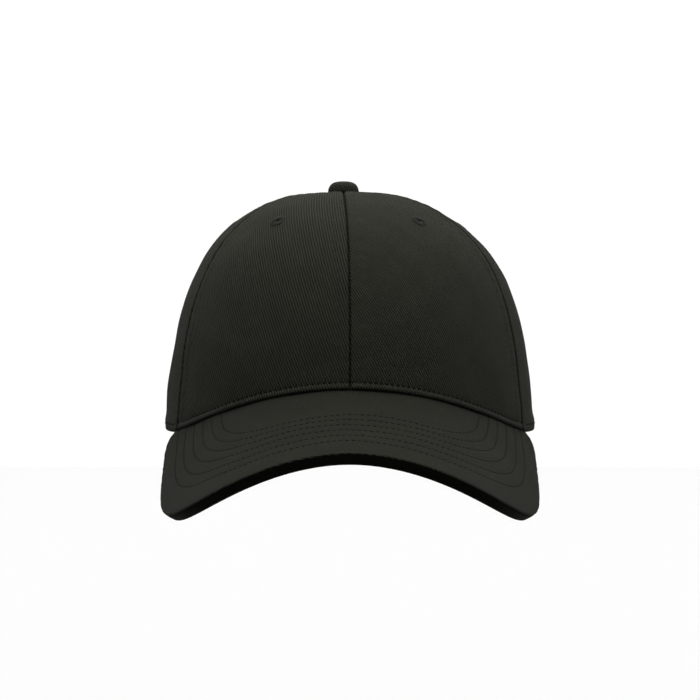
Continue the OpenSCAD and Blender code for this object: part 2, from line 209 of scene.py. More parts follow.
def hem_rise(az, depth):
    """The rise angle of the hem: on the visor in front, level at the sides, arched behind."""
    az = np.asarray(az, float)
    z = np.full(az.shape, 5.0)
    for _ in range(5):
        p = layer_point(az, rise_at(az, z), depth)
        front = on_visor(az)
        x = np.clip(p[..., 0], -88, 88)
        target = np.where(front > 0, front * (visor_z(x, p[..., 1]) + HEM_LIFT), arch_z(az))
        z = z + target - p[..., 2]
    return rise_at(az, z)


def meridians(az, top_r, distances):
    """Rise angles at given distances up each meridian from the hem, in millimetres. Distances past
    the end stop at the top."""
    low, high = hem_rise(az, 0.0), rise_near_top(az, top_r)
    rise = low[:, None] + (high - low)[:, None] * np.linspace(0, 1, 300) ** 1.8
    run = lengths_along(crown_point(np.broadcast_to(az[:, None], rise.shape), rise))
    total = run[:, -1]
    wanted = distances(total)
    found = np.stack([np.interp(*row) for row in zip(wanted, run, rise)])
    return found, wanted, total


def soft_noise(points, wavelength, seed, waves=10):
    """Smooth noise of about unit size: a sum of plane waves, the same on every run."""
    rng = np.random.default_rng(seed)
    k = unit(rng.normal(size=(waves, 3)))
    k = k * (FULL_TURN / (wavelength * rng.uniform(0.7, 1.5, (waves, 1))))
    phase = rng.uniform(0, FULL_TURN, waves)
    return np.sin(points @ k.T + phase).sum(-1) / sqrt(waves / 2)


# ---- mesh makers
def new_object(name, data):
    obj = bpy.data.objects.new(name, data)
    bpy.context.scene.collection.objects.link(obj)
    return obj


def make_mesh(name, points, faces, uv=None, values=None):
    """An object from points in millimetres. Points that no face uses are dropped. The values are
    painted shade: how much each point's cloth is darkened where it would lie in shadow, in seam
    grooves, at hems and along stitch rows."""
    flat = np.concatenate([np.asarray(f).ravel() for f in faces])
    sizes = np.concatenate([np.full(len(f), np.asarray(f).shape[1]) for f in faces])
    used, flat = np.unique(flat, return_inverse=True)
    mesh = bpy.data.meshes.new(name)
    mesh.vertices.add(len(used))
    mesh.vertices.foreach_set("co", (points[used] * MM).astype(np.float32).ravel())
    mesh.loops.add(len(flat))
    mesh.loops.foreach_set("vertex_index", flat.astype(np.int32))
    mesh.polygons.add(len(sizes))
    starts = np.concatenate([[0], np.cumsum(sizes)[:-1]])
    mesh.polygons.foreach_set("loop_start", starts.astype(np.int32))
    mesh.polygons.foreach_set("use_smooth", np.full(len(sizes), True))
    if uv is not None:
        layer = mesh.uv_layers.new(name="weave")
        layer.data.foreach_set("uv", uv[used][flat].astype(np.float32).ravel())
    mesh.update(calc_edges=True)
    mesh.validate()
    # Painted shade: the values go into a point attribute that the twill darkens its colour by.
    if values is not None:
        crease = mesh.attributes.new("crease", "FLOAT", "POINT")
        crease.data.foreach_set("value", values[used].astype(np.float32))
    return new_object(name, mesh)


def closed_sheet(name, outer, inner, uv, keep=None, crease=None):
    """A closed mesh between two grids of points. Cells outside keep are left out, as holes."""
    ni, nj = outer.shape[:2]
    count = ni * nj
    index = np.arange(count).reshape(ni, nj)
    keep = np.ones((ni - 1, nj - 1), bool) if keep is None else keep
    a, b, c, d = index[:-1, :-1], index[1:, :-1], index[1:, 1:], index[:-1, 1:]
    faces = [np.stack([a[keep], b[keep], c[keep], d[keep]], 1),
             np.stack([d[keep], c[keep], b[keep], a[keep]], 1) + count]
    around = np.pad(keep, 1)
    sides = (((a, d), around[:-2, 1:-1]), ((c, b), around[2:, 1:-1]),
             ((b, a), around[1:-1, :-2]), ((d, c), around[1:-1, 2:]))
    for (start, end), beside in sides:
        edge = keep & ~beside
        s, e = start[edge], end[edge]
        faces.append(np.stack([s, e, e + count, s + count], 1))
    points = np.concatenate([outer.reshape(-1, 3), inner.reshape(-1, 3)])
    # The painted shade values, the same on both faces of the sheet.
    values = None if crease is None else np.concatenate([crease.ravel()] * 2)
    return make_mesh(name, points, faces, np.concatenate([uv.reshape(-1, 2)] * 2), values)


def closed_tube(name, rings, uv, caps=True):
    """A closed mesh from rings of points, each ring closed on itself."""
    n, m = rings.shape[:2]
    index = np.arange(n * m).reshape(n, m)
    after = np.roll(index, -1, 1)
    faces = [np.stack([index[:-1], after[:-1], after[1:], index[1:]], -1).reshape(-1, 4)]
    if caps:
        faces += [index[:1, ::-1], index[-1:]]
    return make_mesh(name, rings.reshape(-1, 3), faces, uv.reshape(-1, 2))


def thread_template(rings=7, sides=6):
    """One stitch: a short thread along x that dives into the cloth at both ends."""
    x = np.linspace(-1, 1, rings)[:, None]
    r = np.sqrt(np.maximum(1 - x ** 4, 0.02))
    angle = np.arange(sides) * FULL_TURN / sides
    points = joined(x, r * np.cos(angle), r * np.sin(angle) - 1.3 * x ** 2)
    index = np.arange(rings * sides).reshape(rings, sides)
    after = np.roll(index, -1, 1)
    quads = np.stack([index[:-1], index[1:], after[1:], after[:-1]], -1).reshape(-1, 4)
    return points.reshape(-1, 3), quads, np.stack([index[0], index[-1, ::-1]])


def stitches(name, runs, material, slot="crown_twill", body="crown",
             pitch=3.0, length=2.4, radius=0.22, lift=0.1):
    """Rows of thread stitches. Each run is a path of points with the cloth's normals."""
    template, quads, caps = thread_template()
    centres, frames = [], []
    for path, normals in runs:
        run = lengths_along(path)
        number = max(int(run[-1] / pitch), 1)
        mid = (np.arange(number) + 0.5) * run[-1] / number

        def at(s, values=path):
            return joined(*[np.interp(s, run, axis) for axis in values.T])
        along = at(mid + length / 2) - at(mid - length / 2)
        n = unit(at(mid, normals))
        t = unit(along - (along * n).sum(1, keepdims=True) * n)
        centres.append(at(mid) + n * lift)
        frames.append(np.stack([t * length / 2, np.cross(n, t) * radius, n * radius], 1))
    centres, frames = np.concatenate(centres), np.concatenate(frames)
    points = (template @ frames + centres[:, None]).reshape(-1, 3)
    shift = (np.arange(len(centres)) * len(template))[:, None, None]
    threads = make_mesh(name, points, [(quads + shift).reshape(-1, 4), (caps + shift).reshape(-1, 6)])
    finish_piece(threads, material, slot, body)


# ---- materials
def put(node, values):
    """Sets a node's inputs by their names."""
    for name, value in values.items():
        node.inputs[name].default_value = value


def shader(name, base, roughness, metallic=0.0, sheen=0.0, specular=0.5):
    """A Principled material; returns it with its tree and shader node."""
    material = bpy.data.materials.new(name)
    material.use_nodes = True
    tree = material.node_tree
    bsdf = tree.nodes["Principled BSDF"]
    put(bsdf, {"Base Color": (*base, 1), "Roughness": roughness, "Metallic": metallic,
               "Sheen Weight": sheen, "Sheen Roughness": 0.45, "Specular IOR Level": specular})
    return material, tree, bsdf


def add(tree, kind, *values, **settings):
    """A node whose inputs take the given numbers, vectors or sockets in order."""
    n = tree.nodes.new(kind)
    for key, value in settings.items():
        setattr(n, key, value)
    for socket, value in zip(n.inputs, values):
        if isinstance(value, bpy.types.NodeSocket):
            tree.links.new(value, socket)
        elif value is not None:
            socket.default_value = value
    return n


def maths(tree, operation, *values):
    return add(tree, "ShaderNodeMath", *values, operation=operation).outputs[0]


def noise(tree, where, scale, detail=2.0, roughness=0.5):
    n = tree.nodes.new("ShaderNodeTexNoise")
    tree.links.new(where, n.inputs["Vector"])
    put(n, {"Scale": scale, "Detail": detail, "Roughness": roughness})
    return n.outputs["Fac"]


def mixed(tree, first, second, share):
    """A mix of two colours, each a tuple or a socket."""
    mix = tree.nodes.new("ShaderNodeMix")
    mix.data_type = "RGBA"
    inputs = [socket for socket in mix.inputs if socket.type == "RGBA"]
    for socket, colour in zip(inputs, (first, second)):
        if isinstance(colour, tuple):
            socket.default_value = (*colour, 1)
        else:
            tree.links.new(colour, socket)
    tree.links.new(share, mix.inputs["Factor"])
    return [socket for socket in mix.outputs if socket.type == "RGBA"][0]


def scaled(colour, factor):
    return tuple(c * factor for c in colour)


def coordinates(tree, kind="UV"):
    return tree.nodes.new("ShaderNodeTexCoord").outputs[kind]


def wave(tree, phase):
    """A wave between 0 and 1, once for each whole step of the phase."""
    sine = maths(tree, "SINE", maths(tree, "MULTIPLY", phase, FULL_TURN))
    return maths(tree, "MULTIPLY_ADD", sine, 0.5, 0.5)


def bumped(tree, bsdf, height, depth_mm, strength=1.0):
    bump = tree.nodes.new("ShaderNodeBump")
    put(bump, {"Strength": strength, "Distance": depth_mm * MM})
    tree.links.new(height, bump.inputs["Height"])
    tree.links.new(bump.outputs["Normal"], bsdf.inputs["Normal"])


def patterned(tree, bsdf, base, dark, light, height, depth, strength=1.0):
    """The base colour from a darker to a lighter form of it, and a bump, both by one height."""
    colour = mixed(tree, scaled(base, dark), scaled(base, light), height)
    tree.links.new(colour, bsdf.inputs["Base Color"])
    bumped(tree, bsdf, height, depth, strength)


def twill(name, base, pitch=1.25, lean=27, contrast=1.7, depth=0.4, sheen=0.05, fuzz=0.14,
          grain=2.6):
    """Twill cloth: diagonal ribs of floats, in the mesh's weave coordinates, in millimetres."""
    material, tree, bsdf = shader(name, base, 0.85, sheen=sheen, specular=0.03)
    where = coordinates(tree)
    a = radians(lean)

    def coordinate(direction, period):
        vector = tuple(c / period for c in direction) + (0,)
        product = add(tree, "ShaderNodeVectorMath", where, vector, operation="DOT_PRODUCT")
        return product.outputs["Value"]
    wobble = noise(tree, where, 0.35, 2)
    across = maths(tree, "ADD", coordinate((cos(a), sin(a)), pitch),
                   maths(tree, "MULTIPLY", wobble, 0.5))
    rib = wave(tree, across)
    along = coordinate((0, 1), 0.62)
    floats = wave(tree, maths(tree, "ADD", along, maths(tree, "MULTIPLY", across, 0.5)))
    fibres = noise(tree, where, grain, 3, 0.65)
    height = maths(tree, "ADD", maths(tree, "MULTIPLY", rib, 0.65),
                   maths(tree, "MULTIPLY", floats, 0.35))
    height = maths(tree, "ADD", height, maths(tree, "MULTIPLY_ADD", fibres, 0.9, -0.2))
    patches = noise(tree, where, 0.05, 3, 0.6)
    # The colour follows the ribs' height, from 0.3 to 1.7 times the base: painted shade in the rib
    # valleys and painted highlight on the rib tops. The patches add random tone.
    share = maths(tree, "MULTIPLY_ADD", height, contrast, 0.5 - 0.7 * contrast)
    share = maths(tree, "ADD", share, maths(tree, "MULTIPLY_ADD", patches, fuzz * 2, -fuzz))
    # Painted shade: where the mesh's painted-shade attribute is high, the colour goes down to 6% of the
    # base, as shadow in seam grooves, under the hem, along stitch rows and at the binding's edges.
    crease = add(tree, "ShaderNodeAttribute", attribute_name="crease").outputs["Fac"]
    cloth = mixed(tree, scaled(base, 0.3), scaled(base, 1.7), share)
    tree.links.new(mixed(tree, cloth, scaled(base, 0.06), crease), bsdf.inputs["Base Color"])
    bumped(tree, bsdf, height, depth)
    return material


def felt(name, base, grain=1.2, depth=0.2):
    material, tree, bsdf = shader(name, base, 0.9, sheen=0.1, specular=0.15)
    fibres = noise(tree, coordinates(tree), grain, 5, 0.7)
    patterned(tree, bsdf, base, 0.6, 1.4, fibres, depth)
    return material


def open_weave(name, base, pitch=1.1, depth=0.2):
    """Buckram or tape: a plain weave of separate yarns."""
    material, tree, bsdf = shader(name, base, 0.8, specular=0.25)
    where = coordinates(tree)
    parts = add(tree, "ShaderNodeSeparateXYZ", where)
    waves = [maths(tree, "SINE", maths(tree, "MULTIPLY", parts.outputs[k], FULL_TURN / pitch))
             for k in (0, 1)]
    yarn = maths(tree, "MULTIPLY_ADD", maths(tree, "MULTIPLY", waves[0], waves[1]), 0.5, 0.5)
    height = maths(tree, "ADD", yarn, maths(tree, "MULTIPLY", noise(tree, where, 2.0, 3), 0.4))
    patterned(tree, bsdf, base, 0.5, 1.35, height, depth)
    return material


def thread(name, base, sheen=0.1):
    """Sewing thread: smooth plied yarn with a soft gloss."""
    material, tree, bsdf = shader(name, base, 0.6, sheen=sheen, specular=0.06)
    ply = noise(tree, coordinates(tree, "Object"), 2600, 2)
    patterned(tree, bsdf, base, 0.7, 1.3, ply, 0.05, 0.6)
    return material


def old_brass(name):
    """Antiqued brass: brown in the low places, bright where it is rubbed, with fine brush marks."""
    material, tree, bsdf = shader(name, (0.30, 0.24, 0.14), 0.34, metallic=1.0)
    where = coordinates(tree, "Object")
    stretched = add(tree, "ShaderNodeVectorMath", where, (400, 400, 6000), operation="MULTIPLY")
    brush = noise(tree, stretched.outputs[0], 1.0, 4, 0.6)
    patina = noise(tree, where, 260, 4, 0.65)
    edges = tree.nodes.new("ShaderNodeNewGeometry").outputs["Pointiness"]
    rubbed = maths(tree, "MULTIPLY_ADD", edges, 6.0, -2.75)
    share = maths(tree, "ADD", rubbed, maths(tree, "MULTIPLY", patina, 0.6))
    share = add(tree, "ShaderNodeClamp", share).outputs[0]
    colour = mixed(tree, (0.09, 0.068, 0.040), (0.40, 0.31, 0.18), share)
    tree.links.new(colour, bsdf.inputs["Base Color"])
    tree.links.new(maths(tree, "MULTIPLY_ADD", brush, 0.25, 0.24), bsdf.inputs["Roughness"])
    bumped(tree, bsdf, brush, 0.02, 0.5)
    return material


CLOTH = (0.0460, 0.0475, 0.0350)
# DARK is near-black: the underside cloth's colour, and as the colour of the visor's and hem's stitches,
# painted shade for their sunk stitch holes.
DARK = (0.004, 0.004, 0.003)
MATERIALS = {
    "crown": twill("crown_twill", CLOTH),
    "visor": twill("visor_twill", (0.0255, 0.0262, 0.0195), pitch=1.1, lean=72, contrast=1.3,
                   depth=0.2, sheen=0.03, grain=1.1),
    "under": twill("under_twill", DARK, pitch=0.8, lean=84, contrast=0.25, depth=0.1, sheen=0.02),
    "strap": twill("strap_twill", CLOTH, lean=60),
    "tape": open_weave("tape_weave", (0.012, 0.012, 0.011), 0.9),
    "buckram": open_weave("buckram_weave", (0.03, 0.03, 0.028), 1.4),
    "padding": felt("padding_felt", (0.08, 0.08, 0.075)),
    "facing": twill("facing_twill", (0.016, 0.016, 0.015), pitch=1.0, lean=45, sheen=0.1),
    "thread": thread("cap_thread", (0.036, 0.036, 0.030)),
    # Painted shade: the stitches on the visor and above the hem are near-black for the shadow of their
    # sunk stitch holes.
    "painted_shade_thread": thread("painted_shade_thread", DARK, sheen=0.0),
    "dark_thread": thread("dark_thread", (0.012, 0.012, 0.011)),
    "brass": old_brass("old_brass"),
}


def dress(data, material):
    data.materials.clear()
    data.materials.append(MATERIALS[material])


def finish_piece(obj, material, slot, body="crown", replaced=()):
    dress(obj.data, material)
    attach(obj, body)
    if replaced:
        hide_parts(*replaced)
    return obj


def cloth_piece(node, sides, uv, looks, size, seen=1, body="crown", name=None, **more):
    """A sheet between two grids of points in place of a CAD node. Looks are its material and a slot;
    the slot is not used. The size it was cut to is not used. Seen is not used."""
    cloth = closed_sheet(name or f"{node}_cloth", *sides, uv, **more)
    finish_piece(cloth, *looks, body, replaced=[node])


CROWN_CLOTH, STRAP_CLOTH = ("crown", "crown_twill"), ("strap", "crown_twill")


# ---- crown panels
def eyelet_centre(az):
    az = np.array(az)
    return crown_at(az, rise_at(az, EYELET_Z))


def clear_of_eyelets(grid):
    """Which cells of a grid of points lie clear of every eyelet's hole."""
    cells = (grid[:-1, :-1] + grid[1:, 1:]) / 2
    clear = np.ones(cells.shape[:-1], bool)
    for degrees in EYELETS.values():
        centre, normal = eyelet_centre(radians(degrees))
        off = cells - centre
        along = off @ normal
        away = np.linalg.norm(off - along[..., None] * normal, axis=-1)
        clear &= (away >= HOLE_R) | (np.abs(along) >= 5)
    return clear


def unevenness(points, hem_gap):
    """The soft waviness that every layer of the crown shares, still at the hem and the button."""
    quiet = smooth(hem_gap / 14) * smooth((CROWN_H + 1 - points[..., 2]) / 6 + 0.3)
    behind = smooth((points[..., 1] + 40) / 80)
    wide = (0.18 + 0.42 * behind) * soft_noise(points, 46, 11)
    return quiet * (wide + 0.09 * soft_noise(points, 17, 5))


def edge_fall(gap, radius, reach=0.99):
    """How far a rounded edge falls away, as a share of its radius."""
    return 1 - np.sqrt(1 - np.clip(1 - gap / radius, 0, reach) ** 2)


def curl(gap, radius):
    """How far an edge rolls in over a radius."""
    return -radius * edge_fall(gap, radius, 0.98)


def cloth_relief(points, az, seam_gap, hem_gap):
    """How far the outer cloth stands out, in millimetres: seams, hem roll and waviness."""
    groove = -1.25 * bell(seam_gap, 0, 0.42)
    ridge = 0.30 * smooth((seam_gap - 0.4) / 1.0) * (1 - smooth((seam_gap - 5.4) / 1.6))
    tack = -0.16 * bell(seam_gap, SEAM_ROW, 0.5)
    ripple = np.sin(FULL_TURN * hem_gap / 6.5 + 2.5 * soft_noise(points, 40, 3, 6))
    pucker = 0.10 * bell(seam_gap, 4.5, 3.5) * smooth(hem_gap / 14) * ripple
    front = on_visor(az)
    side = (1 - front) * smooth((turn_from(az, BACK) - ARCH_HALF) * CROWN_HALF_L / 14)
    roll = 0.60 * np.sin(pi * np.clip(hem_gap / 3.1, 0, 1)) * front
    roll = roll + 0.55 * bell(hem_gap, 5, 3) * side
    roll = roll + curl(hem_gap, 1.0) * front + curl(hem_gap, 1.6) * side
    roll = roll - 0.30 * bell(hem_gap, HEM_ROW, 0.5) * (front + side)
    return groove + ridge + tack + pucker + roll + unevenness(points, hem_gap)


# Distances of the first rows of points from a seam or a free edge, and from the hem
EDGE_STEPS = np.array([0, 0.15, 0.35, 0.6, 0.9, 1.3, 1.8, 2.4, 3.2, 4.2, 5.2, 6.0, 7.0])
HEM_STEPS = np.array([0, 0.1, 0.25, 0.45, 0.8, 1.2, 1.7, 2.2, 2.6, 3.0, 3.5, 4.2, 5.5, 7.0, 9.0])
# Width of cloth turned into the seams
SEWN_IN = 12


def dense_ends(count, total):
    """Positions 0..total: closer together within a few millimetres of both ends."""
    inner = np.linspace(EDGE_STEPS[-1], total - EDGE_STEPS[-1], count)
    return np.concatenate([EDGE_STEPS[:-1], inner, total - EDGE_STEPS[:-1][::-1]])


def panel_columns(az0, az1, rear, columns=66, width=100, rear_width=60):
    """Azimuths across a panel, closer at its seams and at the corner of the rear opening."""
    if not rear:
        return az0 + (az1 - az0) * dense_ends(columns, width) / width
    seam, side = (az0, -1) if az0 < BACK - 0.1 else (az1, 1)
    over_arch = BACK + side * ARCH_HALF * np.cos(np.linspace(0, pi / 2, 40))
    away = dense_ends(20, rear_width)[:-len(EDGE_STEPS)] / rear_width
    beside = seam + (BACK + side * ARCH_HALF - seam) * away
    return np.unique(np.round(np.concatenate([beside, over_arch]), 7))


def panel_distances(total, rows=96):
    """Distances up the meridians of a panel, closer at its hem."""
    start = np.minimum(HEM_STEPS[-1], 0.4 * total)[:, None]
    rest = start + (total[:, None] - start) * np.linspace(0, 1, rows)[1:]
    return np.concatenate([HEM_STEPS * start / HEM_STEPS[-1], rest], 1)


def crown_panel(name, az0, az1):
    rear = name.startswith("rear")
    columns = panel_columns(az0, az1, rear)
    rise, hem_gap, total = meridians(columns, TOP_HOLE_R, panel_distances)
    az = np.broadcast_to(columns[:, None], rise.shape)
    base, normal = crown_at(az, rise)
    radius = from_axis(base)
    seam_gap = np.minimum(radius * (az - az0), radius * (az1 - az))
    lift = cloth_relief(base, az, seam_gap, hem_gap)
    half = PANEL_T / 2
    round_off = half - np.sqrt(np.maximum(half ** 2 - np.maximum(half - hem_gap, 0) ** 2, 0.002))
    out = lift - round_off
    back = unevenness(base, hem_gap) - PANEL_T + round_off
    sides = lifted(base, normal, out, np.minimum(back, out - 0.12))
    up = hem_gap - total[:, None] if rear else hem_gap + 20 * (az - az0)
    uv = joined(radius * (az - (az0 + az1) / 2), up)
    # Painted shade: the cloth is darkened along its seam grooves and along its hem outside the rear
    # opening, where they lie in shadow.
    hem_shade = np.where(turn_from(az, BACK) >= ARCH_HALF, bell(hem_gap, 0, 0.7), 0)
    wide = np.where(turn_from(az, FRONT) > 0.5, 1.05, 0.45)
    crease = np.maximum(0.85 * bell(seam_gap, 0, wide), 0.85 * hem_shade)
    size = radius[:, 0].max() * (az1 - az0) + SEWN_IN, hem_gap[:, -1].max() + SEWN_IN
    cloth_piece(name, sides, uv, CROWN_CLOTH, size, 0, keep=clear_of_eyelets(base), crease=crease)


PANELS = {
    "front_panel_left": (FRONT, -SEAM_FRONT),
    "front_panel_right": (SEAM_FRONT - pi, FRONT),
    "side_panel_left": (-SEAM_FRONT, SEAM_REAR),
    "side_panel_right": (pi - SEAM_REAR, pi + SEAM_FRONT),
    "rear_panel_left": (SEAM_REAR, BACK),
    "rear_panel_right": (BACK, pi - SEAM_REAR),
}
for panel_name, (start_az, end_az) in PANELS.items():
    crown_panel(panel_name, start_az, end_az)


# ---- visor
def outline(turn):
    c, s = np.cos(turn), np.sin(turn)
    ahead = VISOR_LEN + OUTLINE_Y - ROOT_Y
    reach = np.where(c > 0, -ahead * np.maximum(c, 0) ** (2 / OUTLINE_Q),
                     WING_BACK * np.maximum(-c, 0) ** (2 / OUTLINE_Q))
    power = 2 / np.where(c > 0, OUTLINE_P, WING_P)
    return joined(np.sign(s) * VISOR_HALF_W * np.abs(s) ** power, OUTLINE_Y + reach)


def visor_root(turn):
    az = FRONT + radians(64) * turn / TIP_TURN
    return layer_point(az, hem_rise(az, SEAM_INSET), SEAM_INSET)[..., :2]


def flattened(plan):
    """Plan points as the visor lies when it is opened out flat."""
    bend = VISOR_R * 0.95
    x = bend * np.arcsin(np.clip(plan[..., 0] / bend, -0.999, 0.999))
    return joined(x, plan[..., 1] / cos(VISOR_SLOPE))


EDGE_LINE = flattened(outline(np.linspace(-TIP_TURN, TIP_TURN, 721)))


def edge_gap(plan):
    """Distance from the visor's edge, over its surface."""
    flat = flattened(plan).reshape(-1, 2)
    gaps = np.empty(len(flat))
    for start in range(0, len(flat), 4000):
        part = flat[start:start + 4000]
        gaps[start:start + 4000] = np.linalg.norm(part[:, None] - EDGE_LINE, axis=2).min(1)
    return gaps.reshape(plan.shape[:-1])


def visor_turns(count):
    """Turns round the visor, even along its edge."""
    turn = np.linspace(-TIP_TURN, TIP_TURN, 4001)
    run = lengths_along(flattened(outline(turn)))
    return np.interp(np.linspace(0, run[-1], count), run, turn)


def spokes(turns, shares, inset, depth=0.0):
    """Plan points from above the visor's root to an inset from its outline, a row for each turn."""
    root, edge = visor_root(turns), outline(turns)
    tilt = (visor_point(root, 0) - visor_point(root, 1))[:, :2]
    steepness = np.linalg.norm(tilt, axis=1)
    lead = np.minimum(depth * steepness, 0.45 * np.linalg.norm(edge - root, axis=1))
    root = root + tilt * (lead / steepness)[:, None]
    span = np.linalg.norm(edge - root, axis=1)
    stop = np.maximum(span - inset, 0.4 * span) / span
    return root[:, None] + (edge - root)[:, None] * (shares[None, :] * stop[:, None])[..., None]


def sewn_relief(gap, size):
    """The channels that the rows of stitches press into the visor's cover."""
    dip = sum(bell(gap, row, 0.55) for row in STITCH_ROWS)
    between = zip(STITCH_ROWS, STITCH_ROWS[1:])
    quilted = sum(bell(gap, (a + b) / 2, (b - a) * 0.33) for a, b in between)
    return size * (0.45 * quilted - dip)


def visor_relief(plan, gap):
    """How far the visor's top cover stands out: sewn channels and a slight waviness."""
    level = np.concatenate([plan, np.zeros_like(plan[..., :1])], -1)
    return sewn_relief(gap, 0.14) + 0.10 * soft_noise(level, 30, 21) * smooth(gap / 8)


EDGE_ONLY = np.array([1.0])


def visor_top(turns):
    edge = np.array([0, 0.06, 0.15, 0.3, 0.5, 0.8, 1.2, 1.8, 2.6])
    rim = [spokes(turns, EDGE_ONLY, e) for e in edge[::-1][1:]]
    plan = np.concatenate([spokes(turns, np.linspace(0, 1, 130), edge[-1])] + rim, 1)
    gap = edge_gap(plan)
    depth = -0.7 * curl(gap, 1.0) - visor_relief(plan, gap)
    top, low = visor_point(plan, depth), visor_point(plan, np.maximum(depth + 0.25, COVER_T))
    # Painted shade: the cover is darkened where it runs in under the crown's hem roll, and a little
    # along the stitch rows.
    root_gap = np.linalg.norm(plan - visor_root(turns)[:, None], axis=-1)
    rows = sum(bell(gap, row, 0.5) for row in STITCH_ROWS)
    crease = np.maximum(0.9 * bell(root_gap, 0, 2.7), 0.16 * rows)
    cloth_piece("visor_cover_top", (low, top), flattened(plan),
                ("visor", "crown_twill"), VISOR_FLAT, crease=crease)


def visor_under(turns):
    corner = 1.2
    plan = spokes(turns, np.linspace(0, 1, 110), corner, VISOR_T)
    depth = VISOR_T + sewn_relief(edge_gap(plan), 0.2)
    skin = [visor_point(plan, depth)]
    lining = [visor_point(plan, np.minimum(depth, VISOR_T) - COVER_T)]
    bend = np.linspace(0, pi / 2, 7)[1:]
    profile = [(corner * (1 - sin(b)), VISOR_T - corner * (1 - cos(b))) for b in bend]
    profile += [(-0.12, 0.55 * VISOR_T), (-0.15, 0.4 * VISOR_T), (-0.12, 1.4), (0.0, 0.95), (0.5, 0.78)]
    for inset, edge_depth in profile:
        skin.append(visor_point(spokes(turns, EDGE_ONLY, inset, VISOR_T), edge_depth))
        lining.append(visor_point(spokes(turns, EDGE_ONLY, inset + COVER_T, VISOR_T),
                                  min(edge_depth, VISOR_T - COVER_T)))
    sides = np.concatenate(skin, 1), np.concatenate(lining, 1)
    wall = [flattened(spokes(turns, EDGE_ONLY, -0.8 * k, VISOR_T)) for k in range(len(profile))]
    uv = np.concatenate([flattened(plan)] + wall, 1)
    cloth_piece("visor_cover_under", sides, uv, ("under", "under_twill"), UNDER_FLAT, seen=0)


visor_top(visor_turns(300))
visor_under(visor_turns(300))


# ---- stitches on the visor
def rows_on_visor(side, count=260):
    """Lines on the visor that keep their distances from its edge, on its top or its underside."""
    turns = visor_turns(count)
    fine = np.linspace(0, 1, 130)
    plan = spokes(turns, fine, 0.0, 0.0 if side > 0 else VISOR_T)
    gap = edge_gap(plan)
    rows = []
    for row in STITCH_ROWS:
        on = gap[:, 0] > row + 2.0
        share = np.array([np.interp(row, g[::-1], fine[::-1]) for g in gap[on]])[:, None]
        line = plan[on, 0] * (1 - share) + plan[on, -1] * share
        relief = visor_relief(line, np.full(len(line), row))
        depth = -relief if side > 0 else VISOR_T + sewn_relief(row, 0.2)
        above = visor_point(line, 0) - visor_point(line, 1)
        rows.append((visor_point(line, depth), unit(above) * side))
    return rows


# The top rows take the thread coloured as painted shade; the underside rows take the dark thread.
for side, thread_name, piece in ((1, "painted_shade_thread", "visor_stitches_top"),
                                 (-1, "dark_thread", "visor_stitches_under")):
    stitches(piece, rows_on_visor(side), thread_name, pitch=2.7, length=1.8, radius=0.26)


# ---- stitches on the crown
def crown_outer(az, hem_gap, seam_gap):
    """Points and normals on the outer cloth, from azimuths, heights over the hem and seam gaps."""
    rise, _, _ = meridians(az, TOP_HOLE_R, lambda total: hem_gap[:, None])
    base, normal = crown_at(az, rise[:, 0])
    lift = cloth_relief(base, az, seam_gap, hem_gap)
    return base + lift[:, None] * normal, normal


def beside_seam(seam_az, side, start, top_r=13.0, count=90):
    """A line beside a seam, from a height over the hem to near the button."""
    az = np.full(count, seam_az)
    rise, gap, _ = meridians(az[:1], TOP_HOLE_R,
                             lambda total: np.linspace(start, total[0] - top_r, count)[None])
    radius = from_axis(crown_point(az, rise[0]))
    return crown_outer(az + side * SEAM_ROW / radius, gap[0], np.full(count, SEAM_ROW))


SEAMS = {FRONT: 6, -SEAM_FRONT: 5, pi + SEAM_FRONT: 5, SEAM_REAR: 5, pi - SEAM_REAR: 5, BACK: 8}
seam_runs = [beside_seam(az, side, start) for az, start in SEAMS.items() for side in (-1, 1)]
stitches("seam_stitches", seam_runs, "thread", pitch=2.7, length=2.0, radius=0.16, lift=0.04)
hem_end = ARCH_HALF + 0.06
hem_az = np.linspace(BACK + hem_end, BACK + FULL_TURN - hem_end, 600)
hem_run = crown_outer(hem_az, np.full(600, HEM_ROW), np.full(600, 20.0))
# The hem's stitches take the near-black thread coloured as painted shade.
stitches("hem_stitches", [hem_run], "painted_shade_thread", pitch=2.6, length=1.7, radius=0.34, lift=0.2)


# ---- inside the crown
def buckram(side, az0, az1, rows=70):
    """Open stiffening cloth behind a front panel, on the outer cloth's waviness."""
    first, top_r, depth, thickness = 0.016, 9.5, STIFF_D + 0.1, STIFF_T - 0.2
    az = np.linspace(az0, az1, 40)
    rise, gap, _ = meridians(az, top_r, lambda total: np.linspace(first, 1, rows) * total[:, None])
    az = np.broadcast_to(az[:, None], rise.shape)
    base, normal = crown_at(az, rise)
    height = unevenness(base, gap) - depth
    sides = lifted(base, normal, height, height - thickness)
    cloth_piece(f"front_stiffener_{side}", sides, joined(90 * (az - az0), gap), ("buckram", "buckram"),
                BUCKRAM_FLAT, seen=0, name=f"buckram_{side}", keep=clear_of_eyelets(base))


buckram("left", FRONT + 0.02, -SEAM_FRONT - 0.02)
buckram("right", SEAM_FRONT - pi + 0.02, FRONT - 0.02)


